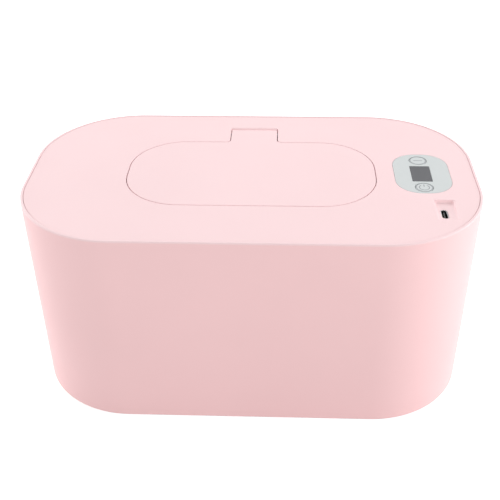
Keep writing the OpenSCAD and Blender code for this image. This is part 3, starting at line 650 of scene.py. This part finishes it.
recess_top = trapezium(FRONT_HALF, BACK_HALF, RECESS_FRONT, RECESS_BACK, TOP_RADII)
recess_foot = trapezium(
    RECESS_FOOT, RECESS_FOOT, RECESS_FRONT + FRONT_SLOPE, RECESS_BACK - BACK_SLOPE, FOOT_RADII,
)
port_loop = outline(rectangle(*widened(shell_size, POCKET_GAP), PORT_X, PORT_Y))
recess_rows = [raised(outline(recess_top, grow), FACE - depth) for grow, depth in dip(SEAM_EDGE)]
for across, rise in arc(-RECESS_ROUND, RECESS_ROUND, RECESS_ROUND, 0, -90, SOME):
    loop = outline(recess_foot, across)
    recess_rows.append(raised(loop, FACE + (floor_height(loop) - FACE) * (1 - rise / RECESS_D)))
recess_parts = [
    grid(recess_rows),
    grid([raised(port_loop, floor_height(port_loop)), raised(port_loop, FACE - COVER_T)]),
    plate(outline(recess_foot, -RECESS_ROUND), floor_height, [port_loop]),
]
print(f"recess: {RECESS_D} mm deep at the back, {RECESS_FRONT_D} mm at the front")

# %% [markdown]
# All of these openings, the face and the side, with its skirt and the seal's groove, now become one closed
# shell. It has a real wall thickness wherever the cover is open.

# %% Top cover
SKIRT_OUT, SKIRT_T, GROOVE_D, GROOVE_H, GROOVE_IN = -7.0, 1.5, 4.4, 2.3, 0.5
BASIN_D, COLLAR_D, HOLLOW_D, PANEL_T, HEM, BASIN_ROUND = 4.8, 13.2, 7.2, 1.2, 0.3, 0.5
skirt_in, groove_end = SKIRT_OUT - SKIRT_T, GROOVE_D + GROOVE_H
cover_side = deep([
    (skirt_in, COVER_T), *arc(skirt_in + HEM, COVER_DEPTH - HEM, HEM, 180, 90, FEW),
    *arc(SKIRT_OUT - HEM, COVER_DEPTH - HEM, HEM, 90, 0, FEW),
    (SKIRT_OUT, groove_end), (SKIRT_OUT - GROOVE_IN, groove_end), (SKIRT_OUT - GROOVE_IN, GROOVE_D),
    (SKIRT_OUT, GROOVE_D), (SKIRT_OUT, COVER_T), (COVER_EDGE, COVER_T),
    *(brow(SEAM_EDGE) + (COVER_EDGE, 0)),
])
face_holes = [well_rows[0][:, :2], outline(pocket, FINE_EDGE), outline(recess_top, SEAM_EDGE)]
through_holes = [outline(window_hole), *map(outline, key_wells)]
under_holes = [outline(block), *through_holes, port_loop]
parts = [
    wall(plan, cover_side, SMOOTH),
    plate(outline(plan, COVER_EDGE - SEAM_EDGE, SMOOTH), FACE, face_holes),
    grid(well_rows),
    plate(outline(well_floor), FACE - WELL_D, [outline(basin, EDGE)]),
    grid([notch, notch - (0, 0, NOTCH_D - WELL_D)]),
    plate(notch[:, :2], FACE - NOTCH_D),
    wall(basin, deep([
        *(dip(EDGE) + (0, WELL_D)), *arc(-BASIN_ROUND, BASIN_D - BASIN_ROUND, BASIN_ROUND, 0, 90, SOME),
    ])),
    plate(outline(basin, -BASIN_ROUND), FACE - BASIN_D, [outline(mouth)]),
    wall(mouth, deep([(0, BASIN_D), (0, COLLAR_D), (WEB, COLLAR_D), (WEB, HOLLOW_D)])),
    plate(outline(block), FACE - HOLLOW_D, [outline(mouth, WEB)], up=False),
    wall(block, deep([(0, HOLLOW_D), (0, COVER_T)])),
    wall(pocket, deep([*dip(FINE_EDGE), (0, PANEL_T)])),
    plate(outline(pocket), FACE - PANEL_T, through_holes),
    plate(outline(plan, skirt_in, SMOOTH), FACE - COVER_T, under_holes, up=False),
    *recess_parts,
]
parts += [wall(hole, deep([(0, PANEL_T), (0, COVER_T)])) for hole in [window_hole, *key_wells]]
piece("cover_shell", parts, cover_pink, "cover", ["top_cover"])

# %% [markdown]
# The lid is a plate with a tongue that ends in a round barrel on the hinge pin. Seen from the side, its
# upper and lower surfaces are two functions of y: flat, then the two halves of the barrel. Behind the pin
# the barrel reaches back a little further than its radius and its upper half is fuller than an ellipse, so
# that the gap behind the tongue hardly shows. Every row of the side's grid lies a set share of the way from
# the lower surface to the upper one. A plate and a cylinder joined by a Boolean would leave a crease across
# the tongue.

# %% Flip lid
LID_T, LID_EDGE, HEEL, BARREL_REACH, FULLNESS, JOIN = 2.0, 0.2, 0.25, 2.9, 2.7, 0.05
lid = tee(*lid_size, TONGUE_W / 2, HINGE_Y + BARREL_REACH, hollow=TONGUE_ROUND)
barrel_front = HINGE_Y - np.sqrt(BARREL_R**2 - (BARREL_R - LID_T) ** 2)
lid_lines = [
    barrel_front - JOIN, barrel_front, *(HINGE_Y + BARREL_R * np.sin(np.radians([-50, -25, 0]))),
    *(HINGE_Y + BARREL_REACH * np.sin(np.radians([12, 24, 36, 48, 60]))),
]


def barrel(y, power=2.0):
    """Half the barrel's height at y: |y / reach|^n + |z / radius|^n = 1, an ellipse for n = 2."""
    across = np.abs(y - HINGE_Y) / np.where(y < HINGE_Y, BARREL_R, BARREL_REACH)
    return BARREL_R * np.clip(1 - across**power, 0, None) ** (1 / power)


def lid_top(points):
    """The face's height up to the pin, and from there the upper half of the barrel."""
    y = points[:, 1]
    return FACE - np.where(y < HINGE_Y, 0, BARREL_R - barrel(y, FULLNESS))


def lid_under(points):
    """Flat up to where the barrel comes out of the lid's lower side, then the barrel's lower half."""
    y = points[:, 1]
    return FACE - np.where(y < barrel_front - JOIN / 2, LID_T, BARREL_R + barrel(y))


def tongue_cuts(grow):
    """Lines across the tongue, where its upper and lower plates bend."""
    half = TONGUE_W / 2 + grow
    return [((-half, y), (half, y)) for y in lid_lines]


lid_side = [*arc(-HEEL, HEEL, HEEL, -90, 0, SOME), *arc(-LID_EDGE, LID_T - LID_EDGE, LID_EDGE, 0, 90)]
rows = []
for grow, height in lid_side:
    loop = crossed(outline(lid, grow), lid_lines)
    low, high = lid_under(loop), lid_top(loop)
    rows.append(raised(loop, low + (high - low) * height / LID_T))
parts = [
    grid(rows),
    plate(rows[-1][:, :2], lid_top, cuts=tongue_cuts(-LID_EDGE)),
    plate(rows[0][:, :2], lid_under, up=False, cuts=tongue_cuts(-HEEL)),
]
piece("lid_shell", parts, cover_pink, "flip_lid", ["flip_lid"])

# %% [markdown]
# Under the lid there is an inner panel, which stiffens it and fits into the basin with a small gap, and a
# silicone bead that closes the mouth when the lid is down. The bead's profile has a round lower edge and
# closes on itself.

# %% Lid's inner panel and seal
INNER_GAP, INNER_D, INNER_ROUND = 0.7, LID_T + 1.2, 0.5
inner = rectangle(*widened(lid_size, -LEDGE_W - INNER_GAP))
inner_side = deep([*arc(-INNER_ROUND, INNER_D - INNER_ROUND, INNER_ROUND, 90, 0, SOME), (0, LID_T)])
piece("lid_lining", capped(inner, inner_side), liner_white, "flip_lid", ["lid_inner_panel"])

BEAD_ROUND, BEAD_END, BEAD_SHOULDER = 1.0, BASIN_D - 0.2, 0.7
BEAD_L, BEAD_W = MOUTH_L + 14, MOUTH_W + 10
bead_profile = deep([
    (0, INNER_D), (0, BEAD_END - BEAD_SHOULDER),
    *arc(BEAD_ROUND, BEAD_END - BEAD_ROUND, BEAD_ROUND, 180, 0, MANY),
    (2 * BEAD_ROUND, BEAD_END - BEAD_SHOULDER), (2 * BEAD_ROUND, INNER_D), (0, INNER_D),
])
bead = wall(rectangle(BEAD_L, BEAD_W, BEAD_W / 2), bead_profile)
piece("lid_bead", [bead], silicone, "flip_lid", ["lid_seal"])

# %% [markdown]
# The mouth is a silicone insert: a thin membrane whose slot has short side slits, so that it gives way to a
# wipe and then holds the next one. The slot with its slits is one outline, which is cut through the
# membrane with a rounded upper edge. A lip below, the plug, holds the insert in the cover's collar.

# %% Mouth insert
FLANGE_W, MEMBRANE, FLANGE_SOFT = 3.0, 1.0, 0.4
PLUG_T, PLUG_D, PLUG_GAP = 1.4, BASIN_D + 3.7, 0.05
SLOT_L, SLOT_W, SLOT_EDGE = 58.0, 12.0, 0.1
SLIT_AT, SLIT_END, SLIT_W, SLIT_ROOT_R, SLIT_END_R = 17.4, 13.0, 0.8, 0.1, 0.35
insert_top = BASIN_D - MEMBRANE


def slit_corners(x, side):
    """Four corners of one side slit, anticlockwise round the slot: into it, round its end and out again."""
    root, tip = side * SLOT_W / 2, side * SLIT_END
    half = -side * SLIT_W / 2
    return [
        (x - half, root, SLIT_ROOT_R), (x - half, tip, SLIT_END_R),
        (x + half, tip, SLIT_END_R), (x + half, root, SLIT_ROOT_R),
    ]


slot_ends = rectangle(SLOT_L, SLOT_W, SLOT_W / 2)
front_slits = [corner for x in (-SLIT_AT, 0, SLIT_AT) for corner in slit_corners(x, -1)]
rear_slits = [corner for x in (SLIT_AT, 0, -SLIT_AT) for corner in slit_corners(x, 1)]
slot = [slot_ends[0], *front_slits, *slot_ends[1:3], *rear_slits, slot_ends[3]]
flange = rectangle(*widened((MOUTH_L, MOUTH_W, MOUTH_W / 2), FLANGE_W))
parts = [
    wall(flange, deep([(0, BASIN_D), *(brow(FLANGE_SOFT) + (0, insert_top))])),
    plate(outline(flange, -FLANGE_SOFT), FACE - insert_top, [outline(slot, SLOT_EDGE)]),
    wall(slot, deep([*(dip(SLOT_EDGE) + (0, insert_top)), (0, BASIN_D)])),
    plate(outline(mouth, -PLUG_T), FACE - BASIN_D, [outline(slot)], up=False),
    wall(mouth, deep([(-PLUG_T, BASIN_D), (-PLUG_T, PLUG_D), (-PLUG_GAP, PLUG_D), (-PLUG_GAP, BASIN_D)])),
    plate(outline(flange), FACE - BASIN_D, [outline(mouth, -PLUG_GAP)], up=False),
]
piece("mouth_lips", parts, silicone, "cover", ["mouth_insert"])

# %% [markdown]
# The control panel is a light grey plate let into the cover. A dark window covers the display, and two
# round keys stand in holes, each with the thin gap that it needs to move. Below its cap a key has a flange,
# which keeps it from falling out, and a stem.

# %% Control panel, window and keys
KEY_R, KEY_GAP, WINDOW_GAP, WINDOW_R = 4.4, 0.25, 0.05, 0.35
HOLE_EDGE, WINDOW_EDGE, KEY_EDGE, KEY_STEPS = 0.1, 0.1, 0.2, 16
KEY_CAP, KEY_FLANGE, KEY_FLANGE_T, STEM_R, STEM_END = 1.5, 0.8, 0.6, 1.6, 5.1
panel = rectangle(PANEL_W, PANEL_L, PANEL_R, PANEL_X, PANEL_Y)
window = rectangle(DISPLAY_W, DISPLAY_L, WINDOW_R, DISPLAY_X)
panel_holes = [(window, WINDOW_GAP)]
panel_holes += [(circle(KEY_R + KEY_GAP, DISPLAY_X, y), 0.0) for y in (-KEY_Y, KEY_Y)]
parts = [
    wall(panel, deep([(0, PANEL_T), *brow(FINE_EDGE)])),
    plate(outline(panel, -FINE_EDGE), FACE, [outline(hole, gap + HOLE_EDGE) for hole, gap in panel_holes]),
    plate(outline(panel), FACE - PANEL_T, [outline(hole, gap) for hole, gap in panel_holes], up=False),
]
parts += [wall(hole, deep([*dip(HOLE_EDGE, gap), (gap, PANEL_T)])) for hole, gap in panel_holes]
piece("panel_plate", parts, panel_grey, "cover", ["control_panel"])

parts = capped(window, deep([(0, PANEL_T), *brow(WINDOW_EDGE)]))
piece("window_glass", parts, window_dark, "cover", ["display_window"])

key_profile = deep([
    (-KEY_R, STEM_END), (STEM_R - KEY_R, STEM_END), (STEM_R - KEY_R, KEY_CAP + KEY_FLANGE_T),
    (KEY_FLANGE, KEY_CAP + KEY_FLANGE_T), (KEY_FLANGE, KEY_CAP), (0, KEY_CAP), *brow(KEY_EDGE), (-KEY_R, 0),
])
for name, y in (("power", -KEY_Y), ("mode", KEY_Y)):
    part = wall(circle(KEY_R, DISPLAY_X, y), key_profile, KEY_STEPS)
    piece(f"{name}_key_cap", [part], panel_grey, f"{name}_key", [f"{name}_key"])

# %% [markdown]
# The marks on the keys are printed. An image or a mask in the material could draw them, but a mark that is
# a piece stays crisp from close by. Each one is a thin closed film of ink: a ring round the edge of each
# key, the power sign on one and a bar on the other.

# %% Printed marks
INK, BAND_STEPS = 0.02, 48
RING_R, RING_W = 4.0, 0.4
SIGN_R, SIGN_W, SIGN_GAP, STROKE_L, STROKE_UP = 2.5, 0.45, 70, 2.2, 1.9
BAR_L, BAR_W = 4.6, 0.5


def film(loop, holes=()):
    """A thin closed layer on the face: the loop and its holes, carried up by the thickness of the ink."""
    made = [plate(loop, FACE + INK, holes), plate(loop, FACE - INK / 2, holes, up=False)]
    for ring, direction in [(loop, 1)] + [(hole, -1) for hole in holes]:
        made.append(grid([raised(ring, z) for z in (FACE - INK / 2, FACE + INK)[::direction]]))
    return made


def ring_mark(radius, width, y):
    """A ring of ink on a key."""
    middle = circle(radius, DISPLAY_X, y)
    return film(outline(middle, width / 2), [outline(middle, -width / 2)])


def open_ring(radius, width, gap, y):
    """A ring that is open at the back by a gap, in degrees: its outer arc, then its inner arc back."""
    angle = np.radians(np.linspace(90 + gap / 2, 450 - gap / 2, BAND_STEPS))
    spoke = np.stack((np.cos(angle), np.sin(angle)), axis=1)
    loop = np.concatenate((spoke * (radius + width / 2), spoke[::-1] * (radius - width / 2)))
    return film(loop + (DISPLAY_X, y))


def bar(length, width, y):
    """A straight stroke of ink with round ends."""
    return film(outline(rectangle(length, width, min(length, width) / 2, DISPLAY_X, y)))


power_mark = ring_mark(RING_R, RING_W, -KEY_Y) + open_ring(SIGN_R, SIGN_W, SIGN_GAP, -KEY_Y)
power_mark += bar(SIGN_W, STROKE_L, -KEY_Y + STROKE_UP)
piece("power_mark", power_mark, print_grey, "power_key")
piece("mode_mark", ring_mark(RING_R, RING_W, KEY_Y) + bar(BAR_L, BAR_W, KEY_Y), print_grey, "mode_key")

# %% [markdown]
# The inlet is a USB-C socket: a drawn metal shell with a black tongue in it, which carries a row of gold
# contacts on each side.

# %% Inlet
PORT_D, BOARD_D, SHELL_T, SHELL_EDGE, BACK_T = 1.6, 9.6, 0.3, 0.1, 1.0
shell = rectangle(*shell_size, PORT_X, PORT_Y)
back_at = BOARD_D - BACK_T
shell_profile = deep([
    (-SHELL_W / 2, BOARD_D), (0, BOARD_D), *(brow(SHELL_EDGE) + (0, PORT_D)),
    *(dip(SHELL_EDGE, -SHELL_T) + (0, PORT_D)), (-SHELL_T, back_at), (-SHELL_W / 2, back_at),
])
piece("inlet_shell", [wall(shell, shell_profile)], inlet_steel, "cover", ["usb_socket"])

TONGUE_T, CORE_L, CORE_R, CORE_EDGE, CORE_IN = 0.7, 6.65, 0.15, 0.1, 0.35
core = rectangle(TONGUE_T, CORE_L, CORE_R, PORT_X, PORT_Y)
core_foot = rectangle(*widened(shell_size, -CORE_IN), PORT_X, PORT_Y)
core_top, foot_at = PORT_D + 0.6, BOARD_D - 2
parts = [
    wall(core_foot, deep([(0, back_at), (0, foot_at)])),
    plate(outline(core_foot), FACE - back_at, up=False),
    plate(outline(core_foot), FACE - foot_at, [outline(core)]),
    wall(core, deep([(0, foot_at), *(brow(CORE_EDGE) + (0, core_top))])),
    plate(outline(core, -CORE_EDGE), FACE - core_top),
]
piece("inlet_core", parts, inlet_black, "cover", ["usb_tongue"])

CONTACTS, PITCH, CONTACT_W, CONTACT_T, CONTACT_OUT, CONTACT_DOWN = 12, 0.5, 0.25, 0.06, 0.02, 0.5
contact_profile = deep([(0, foot_at), (0, core_top + CONTACT_DOWN)])
contact_x = [PORT_X + side * (TONGUE_T / 2 + CONTACT_OUT) for side in (-1, 1)]
contact_y = PORT_Y + (np.arange(CONTACTS) - (CONTACTS - 1) / 2) * PITCH
parts = []
for strip in (rectangle(CONTACT_T, CONTACT_W, 0.0, x, y) for x in contact_x for y in contact_y):
    parts += capped(strip, contact_profile)
piece("inlet_contacts", parts, gold, "cover")

# %% [markdown]
# Under the cover, a silicone seal with two lips sits in the skirt's groove. One function draws the rounded
# end of each lip.

# %% Cover's seal
LIP_OUT, LIP_H, HOLD, LIP_SOFT = -6.48, 0.73, 0.05, 0.12
seal_in, seal_out = SKIRT_OUT - GROOVE_IN + HOLD, SKIRT_OUT + HOLD
seal_top, seal_end = GROOVE_D + HOLD, groove_end - HOLD


def lip_end(low):
    """The rounded end of a lip whose lower side is at the depth low, from below to above."""
    across = LIP_OUT - LIP_SOFT
    return [
        *arc(across, low - LIP_SOFT, LIP_SOFT, 90, 0, FEW),
        *arc(across, low - LIP_H + LIP_SOFT, LIP_SOFT, 0, -90, FEW),
    ]


seal_profile = deep([
    (seal_in, seal_end), *lip_end(seal_end), (seal_out, seal_end - LIP_H),
    (seal_out, seal_top + LIP_H), *lip_end(seal_top + LIP_H), (seal_in, seal_top), (seal_in, seal_end),
])
piece("seal_lips", [wall(plan, seal_profile, SMOOTH)], silicone, "cover", ["cover_seal"])

# %% [markdown]
# A white plate closes the cover's case from below. It has a stepped opening for the aluminium heater and a
# counterbore for each of its six screws.

# %% Cover's base
BASE_T, BASE_GAP, BASE_HEM = 2.0, 0.2, 0.3
HEATER_L, HEATER_W, HEATER_R, HEATER_LEDGE, HEATER_GAP = 148.0, 82.0, 18.0, 3.5, 0.1
HEAD_R, SCREW_HOLE_R, BORE_D = 2.6, 1.45, 1.2
SCREW_IN, SCREW_OUT_X, SCREW_OUT_Y = 7.2, 3, 32
heater_size = (HEATER_L, HEATER_W, HEATER_R)
plate_top, step_d, bore_top = COVER_DEPTH - BASE_T, COVER_DEPTH - BASE_T / 2, COVER_DEPTH - BORE_D
heater_pocket = rectangle(*widened(heater_size, HEATER_GAP))
heater_view = rectangle(*widened(heater_size, -HEATER_LEDGE))
screw_in = CORNER + skirt_in - SCREW_IN
screws = [(x * (CORNER_X + SCREW_OUT_X), y * (CORNER_Y + SCREW_OUT_Y)) for x in (-1, 1) for y in (-1, 1)]
screws += [(0, -CORNER_Y - screw_in), (-CORNER_X - screw_in, 0)]
bores = [circle(HEAD_R, x, y) for x, y in screws]
holes = [circle(SCREW_HOLE_R, x, y) for x, y in screws]
base_out, hem_at = skirt_in - BASE_GAP, COVER_DEPTH - BASE_HEM
base_side = [*arc(base_out - BASE_HEM, hem_at, BASE_HEM, 90, 0, SOME), (base_out, plate_top)]
bottom_holes = [outline(heater_view, BASE_HEM), *map(outline, bores)]
top_holes = [outline(heater_pocket), *map(outline, holes)]
parts = [
    wall(plan, deep(base_side), SMOOTH),
    plate(outline(plan, base_out - BASE_HEM, SMOOTH), UNDERSIDE, bottom_holes, up=False),
    plate(outline(plan, base_out, SMOOTH), FACE - plate_top, top_holes),
    wall(heater_pocket, deep([(0, plate_top), (0, step_d)])),
    plate(outline(heater_pocket), FACE - step_d, [outline(heater_view)]),
    wall(heater_view, deep([(0, step_d), *arc(BASE_HEM, hem_at, BASE_HEM, 180, 90, SOME)])),
]
for bore, hole in zip(bores, holes):
    parts += [
        wall(bore, deep([(0, bore_top), (0, COVER_DEPTH)])),
        wall(hole, deep([(0, plate_top), (0, bore_top)])),
        plate(outline(bore), FACE - bore_top, [outline(hole)], up=False),
    ]
piece("base_plate", parts, liner_white, "cover", ["cover_base"])

# %% [markdown]
# The parts inside are already the right shape, so each keeps its CAD mesh and only gets its finish.

# %% Finishes for the parts inside
dressed = {
    steel: ["liner_screws", "cover_screws", "board_screws", "hinge_pin"],
    foam: ["insulation_sleeve", "insulation_pad", "heater_foam"],
    aluminium: ["heater_plate"],
    amber: ["heating_film"],
    board_green: ["control_board"],
    part_black: ["temperature_sensor", "display_module", "power_switch", "mode_switch"],
    part_white: ["thermal_fuse", "lead_connector", "power_plunger", "mode_plunger"],
    wire_red: ["heater_leads"],
    wire_black: ["sensor_leads"],
}
for material, names in dressed.items():
    for name in names:
        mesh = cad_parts[name].data
        mesh.materials.clear()
        mesh.materials.append(material)
print("dressed:", sum(map(len, dressed.values())), "parts")

# %% [markdown]
# The stage is a white floor that runs out to a white world. It is a plain matt surface, which takes the
# object's shadow, and for rays from the camera, from gloss and through glass it adds enough white to reach
# the pure white of the photograph's background. A floor that simply shone would light the object from
# below.

# %% Floor
FLOOR_SIZE, FLOOR_GREY = 12.0, 0.8
LIFT_NEAR, LIFT_FAR = 0.72, 1.0
NEAR, FAR = 0.7, 1.8
half = FLOOR_SIZE / 2
floor_mesh = bpy.data.meshes.new("floor")
floor_corners = [(-half, -half, 0), (half, -half, 0), (half, half, 0), (-half, half, 0)]
floor_mesh.from_pydata(floor_corners, [], [(0, 1, 2, 3)])
floor = bpy.data.objects.new("floor", floor_mesh)
bpy.context.collection.objects.link(floor)


def seen_ray(tree):
    """1 for a ray from the camera, from gloss or through glass, otherwise 0."""
    path = tree.nodes.new("ShaderNodeLightPath").outputs
    seen = path["Is Camera Ray"]
    for other in ("Is Glossy Ray", "Is Transmission Ray"):
        seen = node(tree, "ShaderNodeMath", {0: seen, 1: path[other]}, operation="MAXIMUM").outputs[0]
    return seen


floor_white = bpy.data.materials.new("floor white")
floor_white.use_nodes = True
tree = floor_white.node_tree
tree.nodes.remove(tree.nodes["Principled BSDF"])
place = node(tree, "ShaderNodeTexCoord").outputs["Object"]
away = node(tree, "ShaderNodeVectorMath", {0: place}, operation="LENGTH").outputs["Value"]
lift = node(tree, "ShaderNodeMapRange", {
    "Value": away, "From Min": NEAR, "From Max": FAR, "To Min": LIFT_NEAR, "To Max": LIFT_FAR,
}).outputs[0]
strength = node(tree, "ShaderNodeMath", {0: seen_ray(tree), 1: lift}, operation="MULTIPLY").outputs[0]
matt = node(tree, "ShaderNodeBsdfDiffuse", {"Color": (FLOOR_GREY, FLOOR_GREY, FLOOR_GREY, 1)}).outputs[0]
glow = node(tree, "ShaderNodeEmission", {"Strength": strength}).outputs[0]
both = node(tree, "ShaderNodeAddShader", {0: matt, 1: glow}).outputs[0]
tree.links.new(both, tree.nodes["Material Output"].inputs["Surface"])
floor_mesh.materials.append(floor_white)
print(f"floor: {FLOOR_SIZE:.0f} m wide, {len(tree.nodes)} nodes")

# %% [markdown]
# The world is white wherever it is seen, and lights the object at a lower strength. Light Path tells the
# two apart.

# %% World
WORLD_LIGHT = 0.6
world = bpy.data.worlds.new("studio")
bpy.context.scene.world = world
world.use_nodes = True
tree = world.node_tree
backdrop = tree.nodes["Background"]
backdrop.inputs["Color"].default_value = (1, 1, 1, 1)
level = node(tree, "ShaderNodeMapRange", {"Value": seen_ray(tree), "To Min": WORLD_LIGHT, "To Max": 1.0})
tree.links.new(level.outputs[0], backdrop.inputs["Strength"])
print(f"world: lights at {WORLD_LIGHT}, seen at 1")

# %% [markdown]
# The white studio gives more than half of the light, and five soft boxes shape it: one above and behind,
# one ahead on the right, one behind on the left, and a low one at either end. Each is far larger than the
# object, so no shadow has a hard edge. Two things decided their energies, in watts: in the photograph the
# front is a fifth darker than the top, and its ends are as light as the top, and no side may turn plain
# white when it is seen from another side.

# %% Lamps
lamps = {
    "above": ((0.0, 1.3, 1.4), (2.0, 1.2), 11.8),
    "ahead": ((1.3, -1.2, 0.7), (1.2, 1.0), 9.3),
    "behind": ((-1.3, 1.2, 0.7), (1.2, 1.0), 5.8),
    "left": ((-1.65, 0.3, 0.2), (1.6, 0.36), 11.8),
    "right": ((1.65, 0.1, 0.25), (1.4, 0.45), 9.8),
}
middle = Vector((0, 0, 0.06))
for name, (place, size, energy) in lamps.items():
    lamp = bpy.data.lights.new(name, "AREA")
    lamp.shape, lamp.size, lamp.size_y, lamp.energy = "RECTANGLE", *size, energy
    made = bpy.data.objects.new(name, lamp)
    made.location = place
    made.rotation_euler = (middle - Vector(place)).to_track_quat("-Z", "Y").to_euler()
    bpy.context.collection.objects.link(made)
bpy.context.scene.view_settings.view_transform = "Standard"
print("lamps:", len(lamps))
